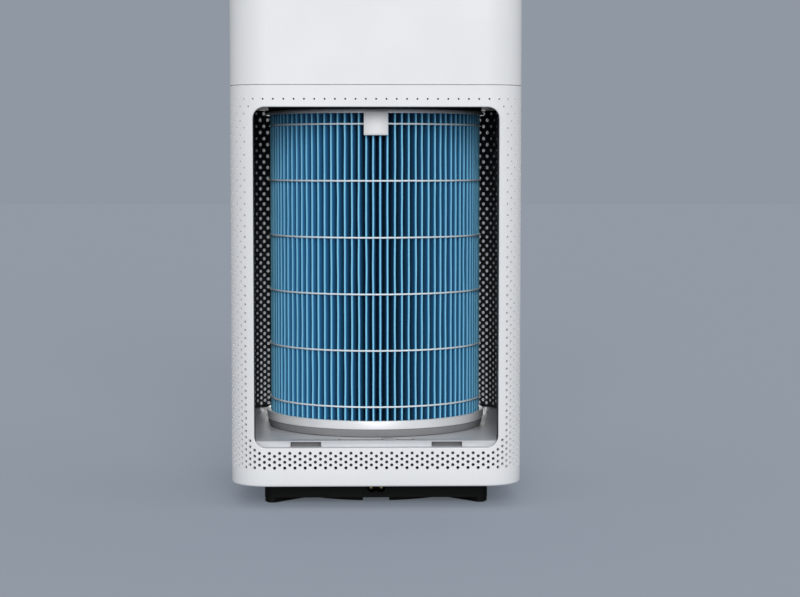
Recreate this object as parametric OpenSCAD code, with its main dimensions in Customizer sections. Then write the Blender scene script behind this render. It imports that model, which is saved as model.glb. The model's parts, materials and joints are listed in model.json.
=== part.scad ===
// Tower air purifier with a rear-loading round filter, a radial fan and a round top outlet.
// The rear (filter) side faces -Y, the origin is on the floor under the centre, millimetres.

/* [Housing] */
// Width and depth of the body
body_w = 240; // [200:1:288]
// Radius of the four upright edges
edge_r = 30.5; // [26:0.5:38]
// Wall thickness of both housings
wall = 1.8; // [1.5:0.1:2.4]
// Height of the upper housing
head_h = 174; // [170:1:210]
// Rounding of the top edge
top_r = 8; // [5:1:12]
// Height of the housing's lower edge above the floor
skirt_z = 18; // [16:1:24]
// Height of the sill under the rear opening
sill_h = 32; // [28:1:40]
// Height of the strip above the rear opening
header_h = 18; // [17:1:26]
// Width of the frame beside the rear opening
side_frame = 20; // [19:1:26]
// Corner radius of the rear opening
mouth_r = 9.5; // [5:0.5:20]
// Gap that shows between the two housings
seam_gap = 0.5; // [0.3:0.1:1]
// Thickness of the black inner liner
liner_t = 0.8; // [0.6:0.1:1.5]
// Depth of the cable posts behind the rear frame
post_d = 20; // [18:1:26]

/* [Filter] */
// Height of the filter cartridge
filter_h = 272.5; // [227:0.5:327]
// Side gap between the filter's end caps and the rear opening
filter_side_gap = 5.3; // [4:0.1:8]
// Depth of the pleats
pleat_depth = 28; // [20:1:34]
// Thickness of the carbon layer
carbon_t = 10; // [6:1:12]
// Thickness of the perforated core tube
core_t = 1.2; // [0.8:0.1:2]
// How far the end caps stand out past the pleats
cap_lip = 3.1; // [2:0.1:5]
// Height of the lower end cap
low_cap_h = 13.5; // [10:0.5:18]
// Height of the upper end cap
high_cap_h = 3.5; // [3:0.1:6]
// Number of glue beads round the pleats
bead_n = 6; // [3:1:9]
// Width of the pull tab
tab_w = 20; // [14:1:30]
// Length of the pull tab below the upper cap
tab_len = 18.6; // [14:0.1:30]

/* [Base] */
// How far the base is set back from the housing's faces
base_inset = 27; // [20:1:36]
// Height of the base plate's underside above the floor
base_lift = 4.5; // [4:0.5:7]
// Distance from the ring under the base to the base's sides
ring_margin = 9; // [6:1:16]
// Width of each foot, a rib from the ring to a corner
foot_w = 12; // [7:0.5:12]

/* [Fan] */
// Distance from the impeller's rim to the body's faces
fan_margin = 36; // [34:1:42]
// Distance from the air duct's bore to the body's faces
duct_margin = 22; // [20:1:26]
// Height of the impeller
fan_h = 50; // [44:1:54]
// Number of impeller blades
blade_n = 11; // [7:1:15]
// Radius of the motor shaft
shaft_r = 3; // [2.5:0.5:4]
// Radial running clearance of the shaft in its bearings
shaft_clear = 0.05; // [0.02:0.01:0.1]

/* [Outlet and controls] */
// Number of concentric rings in the outlet grille
grille_rings = 9; // [6:1:11]
// Radius of the control panel in the middle of the grille
panel_r = 36; // [30:1:44]
// Radius of the power button
button_r = 10.7; // [8:0.1:12]
// Travel of the power button
button_travel = 0.6; // [0.4:0.1:1]

/* [Hidden] */
$fn = 96;

// clearances
gap = 0.3;          // between bodies that move past each other
seat = 0.2;         // between pieces that are fixed side by side
eps = 0.01;

// heights from the floor up
floor_step = 5;
sill_z = skirt_z + sill_h;
filter_z = sill_z + floor_step;
floor_z = filter_z - gap;
floor_t = 2.5;
slot_y = 19;
filter_top = filter_z + filter_h;
mouth_top = filter_top + 0.5;
seal_z = filter_top + gap;
seal_t = 3.2;
deck_z = seal_z + seal_t;
deck_t = 2.5;
seam_z = mouth_top + header_h;
top_z = seam_z + head_h;

// plan sizes
half = body_w / 2;
mouth_w = body_w - 2 * side_frame;
liner_out = wall + seat;
liner_in = liner_out + liner_t;
post_x = mouth_w / 2;
post_y = -(half - post_d - liner_in);

// filter radii
cap_r = mouth_w / 2 - filter_side_gap;
media_r = cap_r - cap_lip;
media_in = media_r - pleat_depth;
carbon_r = media_in - seat;
core_r = carbon_r - carbon_t - seat;
core_in = core_r - core_t;
low_cap_top = filter_z + low_cap_h;
high_cap_z = filter_top - high_cap_h;
cap_plate = 2.5;

// base
base_w = body_w - 2 * base_inset;
base_wall = 2.4;
base_edge_r = 6;
base_ring_r = base_w / 2 - ring_margin;
base_ring_w = 7;
pad_t = 1;
pad_inset = 1.5;
foot_back = 0.4;
ring_low = 0.4;
ring_cut = 22;
base_screw_x = 48;
base_screw_r = 1.8;
base_sink_r = 3.6;
pilot_r = 1.55;
stand_h = 14;
inlet_w = 20;
inlet_h = 10;
socket_d = 14;
inlet_z = (base_lift + base_wall + skirt_z) / 2;

board_t = 1.6;
supply_w = 108;
supply_d = 84;
supply_hole = 5;
supply_post_r = 3;
supply_z = skirt_z + wall + 5;
plug_h = 8;
cable_way_w = 60;
cable_way_d = 24;

// fan and motor heights
fan_r = half - fan_margin;
duct_r = half - duct_margin;
duct_t = 2;
flange_screw_r = duct_r + 5.5;
flange_turn = 30;
throat_r = core_in + 2;
bell_r = 10;
bell_top = deck_z + bell_r + 4;
boss_x = post_x - 5;
eye_r = throat_r + deck_t + 1.2;
fan_z = bell_top - 3.5;
shroud_z = fan_z + 14.5;
hub_z = fan_z + fan_h;
hub_t = 2;
can_r = 32;
can_h = 22;
can_z = hub_z + hub_t;
tube_r = 12;
bearing_r = 9.5;
bearing_h = 6;
teeth = 12;
coil_gap = 4.2;
mount_z = can_z + can_h + 3;
mount_t = 2.5;
mount_screw_r = 22;
tube_top = mount_z + 21.5;
vane_z = mount_z + mount_t;
vane_h = 36;
vane_hub_r = duct_r - 36;
blade_in_r = eye_r + 2.5;

// outlet and controls
duct_top = top_z - 25;
grille_r = duct_r + 4;
grille_z = top_z - 14;
grille_top = top_z - 1.5;
cup_r = panel_r + 2;
cup_z = top_z - 20;
cup_t = 2;
cup_hole_r = panel_r - 10;
board_screw_r = panel_r - 5;
panel_z = top_z - 4;
panel_top = top_z - 1;
board_z = top_z - 14;
button_low = board_z + board_t + 3.5 + button_travel + gap;
button_top = top_z - 0.4;

// sensor window in the rear of the upper housing
sensor_z = top_z - 62;
window_w = 52;
window_h = 34;

// harness route, in the upright plane through the rear right edge
harness_r = 2;
harness_x = half - edge_r + (edge_r - 2 * wall - 3 * seat - harness_r) / sqrt(2);
harness_low = supply_z + board_t + plug_h + harness_r;
harness_top = duct_top + 2.7;
harness_route = [
  [supply_w / 2 - 12, harness_low], [supply_w / 2 + 4, harness_low],
  [harness_x - 12, harness_low], [harness_x - 4, harness_low + 2],
  [harness_x, harness_low + 8], [harness_x, harness_low + 30],
  [harness_x, harness_top - 9], [harness_x - 3, harness_top - 3],
  [harness_x - 9, harness_top], [harness_x - 20, harness_top], [15, harness_top],
  [10, harness_top + 1], [8, harness_top + 4], [8, board_z]
];

// ---- shared shapes ----

module rounded_square(w, r) {
  square([w, w - 2 * r], center = true);
  square([w - 2 * r, w], center = true);
  for (x = [-1, 1], y = [-1, 1])
    translate([x * (w / 2 - r), y * (w / 2 - r)]) circle(r);
}

module rounded_rect(w, h, r) {
  square([w, h - 2 * r], center = true);
  square([w - 2 * r, h], center = true);
  for (x = [-1, 1], y = [-1, 1])
    translate([x * (w / 2 - r), y * (h / 2 - r)]) circle(r);
}

module body_outline(inset) {
  rounded_square(body_w - 2 * inset, edge_r - inset);
}

// body outline with the two rear corners taken up by the cable posts
module chamber_outline(inset) {
  grow = inset - liner_in;
  difference() {
    body_outline(inset);
    for (x = [-1, 1])
      translate([x * (post_x + half - grow), -half])
        square([2 * half, 2 * (half + post_y + grow)], center = true);
  }
}

module tube(r_out, r_in, h) {
  difference() {
    cylinder(r = r_out, h = h);
    translate([0, 0, -eps]) cylinder(r = r_in, h = h + 2 * eps);
  }
}

module ring_2d(r_out, r_in) {
  difference() {
    circle(r_out);
    circle(r_in);
  }
}

// upright prism through the rear wall only
module mouth_cut(grow = 0) {
  w = mouth_w + 2 * grow;
  h = mouth_top - sill_z + 2 * grow;
  translate([0, -half + 34, (mouth_top + sill_z) / 2]) rotate([90, 0, 0])
    linear_extrude(half) rounded_rect(w, h, mouth_r + grow);
}

module screw(head_r, head_h, shank_r, length) {
  cylinder(r = head_r, h = head_h);
  translate([0, 0, head_h - eps]) cylinder(r = shank_r, h = length + eps);
}

module at_corners(x) {
  for (i = [-1, 1], j = [-1, 1]) translate([i * x, j * x, 0]) children();
}

module around(n, start = 0) {
  for (i = [0 : n - 1]) rotate(start + i * 360 / n) children();
}

// section through a rounded top edge of radius e, from the centre of an upright edge r outwards
module edge_section(r, e) {
  square([r - e, e]);
  intersection() {
    translate([r - e, 0]) circle(e);
    square([r, e]);
  }
}

// closed block with upright edges r and a rounded top edge of radius e
module soft_block(w, r, h, e) {
  straight = w - 2 * r;
  linear_extrude(h - e) rounded_square(w, r);
  translate([0, 0, h - e]) {
    translate([0, 0, e / 2]) cube([straight, straight, e], center = true);
    for (a = [0 : 90 : 270]) rotate(a) {
      translate([straight / 2, straight / 2, 0]) rotate_extrude(angle = 90) edge_section(r, e);
      translate([straight / 2, 0, 0]) rotate([90, 0, 0])
        linear_extrude(straight, center = true) edge_section(r, e);
    }
  }
}

// ---- base ----

// rib along a diagonal, from distance start out to a rounded nose just inside the corner
module foot_outline(start, inset = 0) {
  nose = foot_w / 2;
  reach = sqrt(2) * (base_w / 2 - base_edge_r) + base_edge_r - foot_back;
  rotate(45) {
    translate([start, inset - nose]) square([reach - nose - start, foot_w - 2 * inset]);
    translate([reach - nose, 0]) circle(nose - inset);
  }
}

module base_plinth() {
  color([0.04, 0.04, 0.045]) difference() {
    union() {
      translate([0, 0, base_lift]) linear_extrude(skirt_z - base_lift)
        rounded_square(base_w, base_edge_r);
      for (i = [0, 1], j = [0, 1]) mirror([i, 0, 0]) mirror([0, j, 0])
        translate([0, 0, pad_t]) linear_extrude(base_lift) foot_outline(base_ring_r - 2);
      translate([0, 0, ring_low])
        tube(base_ring_r, base_ring_r - base_ring_w, base_lift);
    }
    translate([0, 0, base_lift + base_wall]) linear_extrude(skirt_z)
      rounded_square(base_w - 2 * base_wall, base_edge_r - base_wall);
    translate([0, -base_ring_r, 0])
      cube([ring_cut, 4 * base_ring_w, 1.3 * base_lift], center = true);
    at_corners(base_screw_x) {
      cylinder(r = base_screw_r, h = skirt_z);
      cylinder(r = base_sink_r, h = base_lift + 0.6);
    }
    translate([-inlet_w / 2 - seat, -base_w / 2 - 1, inlet_z - inlet_h / 2 - seat])
      cube([inlet_w + 2 * seat, 12, skirt_z]);
  }
}

module foot_pads() {
  color([0.08, 0.08, 0.08])
    for (i = [0, 1], j = [0, 1]) mirror([i, 0, 0]) mirror([0, j, 0])
      linear_extrude(pad_t) foot_outline(base_ring_r + 1, pad_inset);
}

module base_screws() {
  color([0.6, 0.6, 0.62])
    at_corners(base_screw_x) translate([0, 0, base_lift - 1.6]) difference() {
      screw(3.3, 2.2, 1.5, 20);
      translate([0, 0, -eps]) for (a = [0, 90]) rotate(a)
        translate([-2, -0.4, 0]) cube([4, 0.8, 1.2]);
    }
}

// figure-eight mains socket set into the rear wall of the base
module power_inlet() {
  block_d = 22;
  lobe_x = 3.6;
  lobe_r = 3.9;
  waist_h = 5.2;
  color([0.06, 0.06, 0.065]) translate([0, -base_w / 2 + gap, inlet_z]) rotate([-90, 0, 0])
    difference() {
      translate([-inlet_w / 2, -inlet_h / 2, 0]) cube([inlet_w, inlet_h, block_d]);
      translate([0, 0, -eps]) linear_extrude(socket_d) union() {
        for (x = [-1, 1]) translate([x * lobe_x, 0]) circle(lobe_r);
        translate([-lobe_x, -waist_h / 2]) square([2 * lobe_x, waist_h]);
      }
    }
}

module inlet_pins() {
  pin_h = 10;
  pin_x = 4.3;
  color([0.75, 0.7, 0.5]) translate([0, -base_w / 2 + gap + socket_d - pin_h, inlet_z])
    rotate([-90, 0, 0]) for (x = [-1, 1]) translate([x * pin_x, 0, 0])
      cylinder(r = 1.15, h = pin_h - eps);
}

module supply_board() {
  color([0.1, 0.35, 0.2]) translate([0, 0, supply_z]) linear_extrude(board_t)
    difference() {
      square([supply_w, supply_d], center = true);
      for (x = [-1, 1], y = [-1, 1])
        translate([x * (supply_w / 2 - supply_hole), y * (supply_d / 2 - supply_hole)])
          circle(1.6);
    }
}

module supply_parts() {
  color([0.2, 0.2, 0.22]) translate([0, 0, supply_z + board_t]) {
    translate([-8, -18, 0]) cube([30, 26, 17]);
    translate([-46, 0, 0]) cube([16, 22, 13]);
    for (i = [0 : 2]) translate([36, -18 + 15 * i, 0]) cylinder(r = 5.5, h = 16);
    for (i = [0 : 4]) translate([-42, -32 + 4 * i, 0]) cube([22, 1.6, 14]);
    translate([-42, -32, 0]) cube([22, 17.6, 2]);
    translate([-6, 24, 0]) cube([22, 8, 7]);
    translate([supply_w / 2 - 16, -supply_d / 2, 0]) cube([16, 7, plug_h]);
  }
}

// ---- lower housing and filter chamber ----

module lower_housing() {
  color([0.93, 0.94, 0.95]) difference() {
    union() {
      translate([0, 0, skirt_z + 1]) linear_extrude(seam_z - seam_gap / 2 - skirt_z - 1)
        body_outline(0);
      translate([0, 0, skirt_z]) linear_extrude(1 + eps) body_outline(1);
    }
    translate([0, 0, skirt_z + wall]) difference() {
      linear_extrude(top_z) body_outline(wall);
      at_corners(base_screw_x) cylinder(r = 4, h = stand_h);
      for (x = [-1, 1], y = [-1, 1])
        translate([x * (supply_w / 2 - supply_hole), y * (supply_d / 2 - supply_hole), 0])
          cylinder(r = supply_post_r, h = supply_z - skirt_z - wall);
    }
    at_corners(base_screw_x) translate([0, 0, skirt_z - eps])
      cylinder(r = pilot_r, h = stand_h - 2);
    translate([0, -30, skirt_z - 1]) linear_extrude(wall + 2)
      rounded_rect(cable_way_w, cable_way_d, 4);
    mouth_cut();
  }
}

module inner_liner() {
  color([0.13, 0.13, 0.14]) difference() {
    translate([0, 0, sill_z]) linear_extrude(deck_z - sill_z) difference() {
      chamber_outline(liner_out);
      chamber_outline(liner_in);
    }
    intersection() {
      mouth_cut();
      translate([0, -half, 0])
        cube([mouth_w, 2 * (liner_in + edge_r), 3 * top_z], center = true);
    }
  }
}

// recess in the chamber floor with pointed ends
module floor_slot(x_left, x_right) {
  depth = floor_t - 0.4;
  reach = 4.5;
  point = 3;
  y = -(half - slot_y);
  translate([0, 0, floor_z - depth]) linear_extrude(depth + 1) polygon([
    [x_left, y], [x_left + point, y + reach], [x_right - point, y + reach],
    [x_right, y], [x_right - point, y - reach], [x_left + point, y - reach]
  ]);
}

module chamber_floor() {
  edge_y = -(half - 8);
  ledge_z = sill_z - 0.2;
  pocket_x = 58;
  pocket_w = 25;
  pocket_d = 9;
  pocket_roof = 0.8;
  skirt_h = 20.1;
  skirt_t = 1.5;
  color([0.74, 0.76, 0.79]) difference() {
    union() {
      translate([0, 0, floor_z - floor_t]) linear_extrude(floor_t) chamber_outline(liner_in + seat);
      translate([0, 0, ledge_z - floor_t]) linear_extrude(floor_z - ledge_z + floor_t)
        intersection() {
          chamber_outline(liner_in + seat);
          translate([0, -half + 7]) square([body_w, 22], center = true);
        }
      translate([0, 0, floor_z - skirt_h]) linear_extrude(skirt_h - 1) intersection() {
        difference() {
          body_outline(liner_in + seat);
          body_outline(liner_in + seat + skirt_t);
        }
        for (a = [0, 90]) rotate(a) square([body_w, 2 * (half - edge_r)], center = true);
      }
    }
    translate([0, edge_y - half, ledge_z + half]) cube(2 * half, center = true);
    for (x = [-1, 1]) translate([x * pocket_x - pocket_w / 2, edge_y - 1, ledge_z])
      cube([pocket_w, pocket_d + 1, floor_z - ledge_z - pocket_roof]);
    floor_slot(-33, 8);
    floor_slot(15, 33);
  }
}

// harness as a round cable swept along its route
function route_point(i) = [harness_route[i][0], -harness_route[i][0], harness_route[i][1]];
function route_dir(i) = let (
    n = len(harness_route) - 1,
    d = route_point(min(i + 1, n)) - route_point(max(i - 1, 0))
  ) d / norm(d);
function cable_ring(i, sides) = let (
    side = [1, 1, 0] / sqrt(2),
    up = cross(route_dir(i), side)
  ) [for (k = [0 : sides - 1])
      route_point(i) + harness_r * (cos(k * 360 / sides) * side
        + sin(k * 360 / sides) * up)];

module wire_harness() {
  sides = 10;
  n = len(harness_route);
  points = [for (i = [0 : n - 1]) each cable_ring(i, sides)];
  color([0.15, 0.15, 0.16]) polyhedron(points, [
    [for (k = [0 : sides - 1]) sides - 1 - k],
    for (i = [0 : n - 2], k = [0 : sides - 1]) let (m = (k + 1) % sides)
      [i * sides + k, i * sides + m, (i + 1) * sides + m, (i + 1) * sides + k],
    [for (k = [0 : sides - 1]) (n - 1) * sides + k]
  ]);
}

// ---- filter cartridge ----

module pleat_pack() {
  color([0.16, 0.48, 0.66]) translate([0, 0, filter_z + cap_plate])
    tube(media_r, media_in, filter_h - 2 * cap_plate);
}

module carbon_layer() {
  color([0.1, 0.1, 0.1]) translate([0, 0, filter_z + cap_plate])
    tube(carbon_r, carbon_r - carbon_t, filter_h - 2 * cap_plate);
}

module core_tube() {
  color([0.85, 0.86, 0.87]) translate([0, 0, filter_z + cap_plate])
    tube(core_r, core_in, filter_h - 2 * cap_plate);
}

module lower_end_cap() {
  band = 7;
  step = low_cap_h - band;
  round = 2.5;
  color([0.8, 0.81, 0.83]) translate([0, 0, filter_z]) difference() {
    union() {
      translate([0, 0, step]) cylinder(r = cap_r, h = band);
      translate([0, 0, round]) cylinder(r = cap_r - 0.5, h = step - round + eps);
      translate([0, 0, round]) mirror([0, 0, 1])
        rotate_extrude() edge_section(cap_r - 0.5, round);
    }
    translate([0, 0, cap_plate]) cylinder(r = media_r, h = low_cap_h);
  }
}

module upper_end_cap() {
  round = high_cap_h - 0.2;
  color([0.8, 0.81, 0.83]) translate([0, 0, high_cap_z]) difference() {
    union() {
      cylinder(r = cap_r, h = high_cap_h - round);
      translate([0, 0, high_cap_h - round]) rotate_extrude() edge_section(cap_r, round);
    }
    translate([0, 0, -1]) cylinder(r = media_r, h = high_cap_h - cap_plate + 1);
    translate([0, 0, -1]) cylinder(r = core_in, h = high_cap_h + 2);
  }
}

module glue_beads() {
  first = low_cap_top + 10.7;
  last = high_cap_z - 9.2;
  color([0.85, 0.92, 0.95]) for (i = [0 : bead_n - 1])
    translate([0, 0, first + i * (last - first) / (bead_n - 1)])
      tube(media_r + 0.8, media_r, 1);
}

module pull_tab() {
  y = -(cap_r + gap + 0.6);
  color([0.72, 0.75, 0.78]) {
    translate([-tab_w / 2, y - 0.6, high_cap_z - tab_len + 1])
      cube([tab_w, 1.2, tab_len]);
    translate([-tab_w / 2, y, high_cap_z - tab_len + 1]) rotate([0, 90, 0])
      cylinder(r = 0.9, h = tab_w);
  }
}

// ---- fan ----

module deck_seal() {
  color([0.2, 0.2, 0.21]) translate([0, 0, seal_z])
    tube(cap_r - 2, core_in + 12, seal_t);
}

module fan_deck() {
  flange = 2;
  color([0.16, 0.16, 0.17]) translate([0, 0, deck_z]) {
    linear_extrude(deck_t) difference() {
      body_outline(liner_out + 0.1);
      circle(throat_r + bell_r);
      translate([harness_x, -harness_x]) circle(harness_r + 0.8);
      at_corners(boss_x) circle(1.8);
      around(6, flange_turn) translate([flange_screw_r, 0]) circle(1.5);
    }
    rotate_extrude() {
      translate([throat_r + bell_r, bell_r]) intersection() {
        ring_2d(bell_r, bell_r - deck_t);
        translate([-bell_r, -bell_r]) square(bell_r);
      }
      translate([throat_r + bell_r, 0]) square([flange, deck_t]);
      translate([throat_r, bell_r]) square([deck_t, bell_top - deck_z - bell_r]);
    }
  }
}

// finger guard in the fan inlet
module inlet_guard() {
  bar = 1.4;
  color([0.2, 0.2, 0.21]) translate([0, 0, deck_z + 1]) linear_extrude(2.5) {
    for (r = [12 : 9 : throat_r - 4]) ring_2d(r + bar / 2, r - bar / 2);
    ring_2d(throat_r + 2.2, throat_r - 0.4);
    for (a = [0 : 60 : 120]) rotate(a) square([2 * throat_r + 1, bar], center = true);
  }
}

module housing_screws() {
  color([0.6, 0.6, 0.62]) at_corners(boss_x) translate([0, 0, deck_z - 2])
    screw(3, 2, 1.5, 14);
}

module blade_outline() {
  sweep = 40;
  arc_r = 50;
  t = 2;
  p1 = [blade_in_r, 0];
  p2 = fan_r * [cos(sweep), -sin(sweep)];
  chord = norm(p2 - p1);
  side = [p2[1] - p1[1], p1[0] - p2[0]] / chord;
  centre = (p1 + p2) / 2 + side * sqrt(arc_r * arc_r - chord * chord / 4);
  turn = atan2(centre[1], centre[0]);
  intersection() {
    ring_2d(fan_r - 0.5, blade_in_r);
    translate(centre) ring_2d(arc_r + t / 2, arc_r - t / 2);
    rotate(turn) square(2 * fan_r);
  }
}

module impeller() {
  color([0.12, 0.12, 0.13]) difference() {
    union() {
      rotate_extrude() polygon([
        [eye_r, fan_z], [eye_r + 2, fan_z], [eye_r + 2, fan_z + 5],
        [fan_r, shroud_z], [fan_r, shroud_z + 2], [eye_r, fan_z + 8]
      ]);
      translate([0, 0, shroud_z + 1]) linear_extrude(hub_z - shroud_z)
        around(blade_n) blade_outline();
      translate([0, 0, hub_z]) cylinder(r = fan_r, h = hub_t);
      translate([0, 0, hub_z - 6]) cylinder(r = 16, h = 7);
    }
    translate([0, 0, hub_z - 3]) cylinder(r = shaft_r + seat, h = 10);
  }
}

module rotor_can() {
  color([0.7, 0.71, 0.73]) translate([0, 0, can_z]) difference() {
    cylinder(r = can_r, h = can_h);
    translate([0, 0, 2]) cylinder(r = can_r - 1.5, h = can_h);
    translate([0, 0, -1]) cylinder(r = shaft_r, h = 4);
  }
}

module magnet_ring() {
  color([0.25, 0.24, 0.24]) translate([0, 0, can_z + 3])
    tube(can_r - 1.5, can_r - 4, can_h - 4);
}

module motor_shaft() {
  z = can_z - 2;
  color([0.8, 0.81, 0.83]) translate([0, 0, z]) cylinder(r = shaft_r, h = tube_top - 1 - z);
}

module shaft_clip() {
  color([0.5, 0.5, 0.52]) translate([0, 0, tube_top - 3]) difference() {
    tube(5.5, shaft_r, 0.8);
    translate([0, -1.5, -1]) cube([8, 3, 3]);
  }
}

module motor_bearings() {
  low = can_z + 4;
  high = tube_top - 3 - gap - bearing_h;
  color([0.78, 0.79, 0.8]) for (z = [low, high]) translate([0, 0, z])
    tube(bearing_r, shaft_r + shaft_clear, bearing_h);
}

module motor_mount() {
  low = can_z + 3;
  color([0.75, 0.76, 0.78]) difference() {
    union() {
      translate([0, 0, low]) cylinder(r = tube_r, h = tube_top - low);
      translate([0, 0, mount_z]) cylinder(r = 28, h = mount_t);
    }
    translate([0, 0, low - 1]) cylinder(r = bearing_r - 1.5, h = 60);
    translate([0, 0, low - 1]) cylinder(r = bearing_r, h = 2 + bearing_h);
    translate([0, 0, tube_top - 3 - gap - bearing_h]) cylinder(r = bearing_r, h = 20);
    around(4, 45) translate([mount_screw_r, 0, mount_z - 1]) cylinder(r = 1.6, h = mount_t + 2);
  }
}

module motor_screws() {
  color([0.6, 0.6, 0.62]) translate([0, 0, mount_z]) around(4, 45)
    translate([mount_screw_r, 0, -1.8]) screw(2.8, 1.8, 1.4, 7);
}

module stator_core() {
  h = can_h - 9;
  color([0.55, 0.56, 0.58]) translate([0, 0, can_z + 6]) linear_extrude(h)
    difference() {
      union() {
        circle(tube_r + 4);
        around(teeth) translate([tube_r, -1.8]) square([can_r - 8.5 - tube_r, 3.6]);
        around(teeth) intersection() {
          ring_2d(can_r - 4.8, can_r - 8);
          translate([can_r - 8, -5.2]) square([8, 10.4]);
        }
      }
      circle(tube_r);
    }
}

module stator_coils() {
  h = can_h - 9;
  length = can_r - 8.2 - (tube_r + coil_gap);
  color([0.72, 0.4, 0.2]) translate([0, 0, can_z + 6]) around(teeth)
    translate([tube_r + coil_gap, 0, 0]) difference() {
      translate([0, -3, -1.2]) cube([length, 6, h + 2.4]);
      translate([-1, -1.8, 0]) cube([length + 2, 3.6, h]);
    }
}

module air_duct() {
  color([0.16, 0.16, 0.17]) translate([0, 0, deck_z + deck_t]) difference() {
    union() {
      cylinder(r = duct_r + duct_t, h = duct_top - deck_z - deck_t);
      cylinder(r = duct_r + 9, h = 2.5);
    }
    translate([0, 0, -1]) cylinder(r = duct_r, h = top_z);
    around(6, flange_turn) translate([flange_screw_r, 0, -1]) cylinder(r = 1.7, h = 5);
  }
}

module duct_screws() {
  color([0.6, 0.6, 0.62]) translate([0, 0, deck_z + deck_t + 4.5]) around(6, flange_turn)
    translate([flange_screw_r, 0, 0]) rotate([180, 0, 0]) screw(2.8, 2, 1.4, 3.8);
}

// static vanes that straighten the air above the impeller
module guide_vanes() {
  vanes = 13;
  lean = 32;
  color([0.18, 0.18, 0.19]) translate([0, 0, vane_z]) {
    difference() {
      cylinder(r = vane_hub_r, h = vane_h);
      translate([0, 0, 2.5]) cylinder(r = vane_hub_r - 2, h = vane_h);
      translate([0, 0, -1]) cylinder(r = tube_r + 1, h = 5);
      around(4, 45) translate([mount_screw_r, 0, -1]) cylinder(r = 1.45, h = 5);
    }
    tube(duct_r - seat, duct_r - 2, vane_h - 2);
    intersection() {
      translate([0, 0, 3]) tube(duct_r - 1, vane_hub_r - 1, vane_h - 8);
      around(vanes) translate([(duct_r + vane_hub_r) / 2, 0, vane_h / 2])
        rotate([lean, 0, 0]) cube([duct_r, 1.8, 3 * vane_h], center = true);
    }
  }
}

// ---- upper housing, outlet and controls ----

module upper_housing() {
  lip = 5;
  low = seam_z + seam_gap / 2;
  boss_low = deck_z + deck_t;
  color([0.93, 0.94, 0.95]) difference() {
    union() {
      translate([0, 0, low]) soft_block(body_w, edge_r, top_z - low, top_r);
      translate([0, 0, seam_z - lip]) linear_extrude(lip + 1) body_outline(wall + seat);
    }
    difference() {
      union() {
        translate([0, 0, seam_z - lip - 1]) linear_extrude(lip + 4)
          body_outline(2 * wall + seat);
        translate([0, 0, seam_z + 3]) linear_extrude(eps + 1) body_outline(2 * wall + seat);
        translate([0, 0, seam_z + 4])
          soft_block(body_w - 2 * wall, edge_r - wall, head_h - 4 - wall, top_r - wall);
      }
      at_corners(boss_x) translate([0, 0, seam_z]) {
        cylinder(r = 4.5, h = 50);
      }
      boss_ribs();
    }
    translate([0, 0, top_z - 12]) cylinder(r = grille_r + seat, h = 20);
    at_corners(boss_x) translate([0, 0, boss_low]) cylinder(r = 1.55, h = 30);
    translate([0, -half + wall, sensor_z]) rotate([90, 0, 0]) linear_extrude(wall + 1)
      rounded_rect(window_w, window_h, 6);
  }
  color([0.93, 0.94, 0.95]) difference() {
    at_corners(boss_x) translate([0, 0, boss_low])
      cylinder(r = 4.5, h = seam_z - boss_low + eps);
    at_corners(boss_x) translate([0, 0, boss_low - 1]) cylinder(r = 1.55, h = 30);
  }
}

module boss_ribs() {
  reach = half - boss_x;
  for (i = [0, 1], j = [0, 1]) mirror([i, 0, 0]) mirror([0, j, 0])
    translate([boss_x, boss_x, seam_z + 8]) {
      translate([0, -1, 0]) cube([reach, 2, 40]);
      translate([-1, 0, 0]) cube([2, reach, 40]);
    }
}

module particle_sensor() {
  color([0.5, 0.52, 0.55]) translate([0, -half + wall + 1, sensor_z]) difference() {
    translate([-24, 0, -18.5]) cube([48, 12.5, 37]);
    translate([12, -1, 8]) rotate([-90, 0, 0]) cylinder(r = 7, h = 5);
    translate([-16, -1, -9]) cube([12, 4, 5]);
  }
}

module sensor_cover() {
  slots = 9;
  pitch = 4.4;
  color([0.9, 0.91, 0.92]) translate([0, -half, sensor_z]) difference() {
    rotate([-90, 0, 0]) linear_extrude(wall)
      rounded_rect(window_w - 2 * gap, window_h - 2 * gap, 6 - gap);
    for (i = [0 : slots - 1])
      translate([(i - (slots - 1) / 2) * pitch, 0, 0]) rotate([90, 0, 0])
        linear_extrude(3 * wall, center = true) rounded_rect(1.8, 22, 0.89);
  }
}

module outlet_grille() {
  bar = 1.8;
  depth = grille_top - grille_z;
  step = (duct_r - 2 - cup_r) / grille_rings;
  color([0.15, 0.15, 0.16]) {
    translate([0, 0, grille_z]) {
      tube(grille_r, duct_r - 2, depth);
      for (i = [1 : grille_rings - 1])
        translate([0, 0, 3]) tube(cup_r + i * step + bar / 2, cup_r + i * step - bar / 2,
          depth - 3);
      around(12) translate([cup_r - 1, -1, 0]) cube([duct_r - cup_r, 2, depth - 2]);
    }
    translate([0, 0, cup_z]) difference() {
      cylinder(r = cup_r, h = grille_top - cup_z);
      translate([0, 0, cup_t]) cylinder(r = cup_r - cup_t + 0.2, h = 30);
      translate([0, 0, -1]) cylinder(r = cup_hole_r, h = 4);
    }
    translate([0, 0, cup_z]) around(3, 60) difference() {
      translate([board_screw_r, 0, 0]) cylinder(r = 3.4, h = board_z - cup_z);
      translate([board_screw_r, 0, 1]) cylinder(r = 1.25, h = board_z);
    }
  }
}

module control_board() {
  color([0.1, 0.35, 0.2]) translate([0, 0, board_z]) difference() {
    cylinder(r = panel_r - 1.5, h = board_t);
    around(3, 60) translate([board_screw_r, 0, -1]) cylinder(r = 1.6, h = 4);
  }
}

module button_switch() {
  color([0.3, 0.3, 0.32]) translate([0, 0, board_z + board_t]) {
    translate([-3, -3, 0]) cube([6, 6, 2.6]);
    cylinder(r = 1.6, h = 3.5);
    for (a = [0 : 45 : 315]) rotate(a) translate([13, -1, 0]) cube([2, 2, 1]);
  }
}

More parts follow.
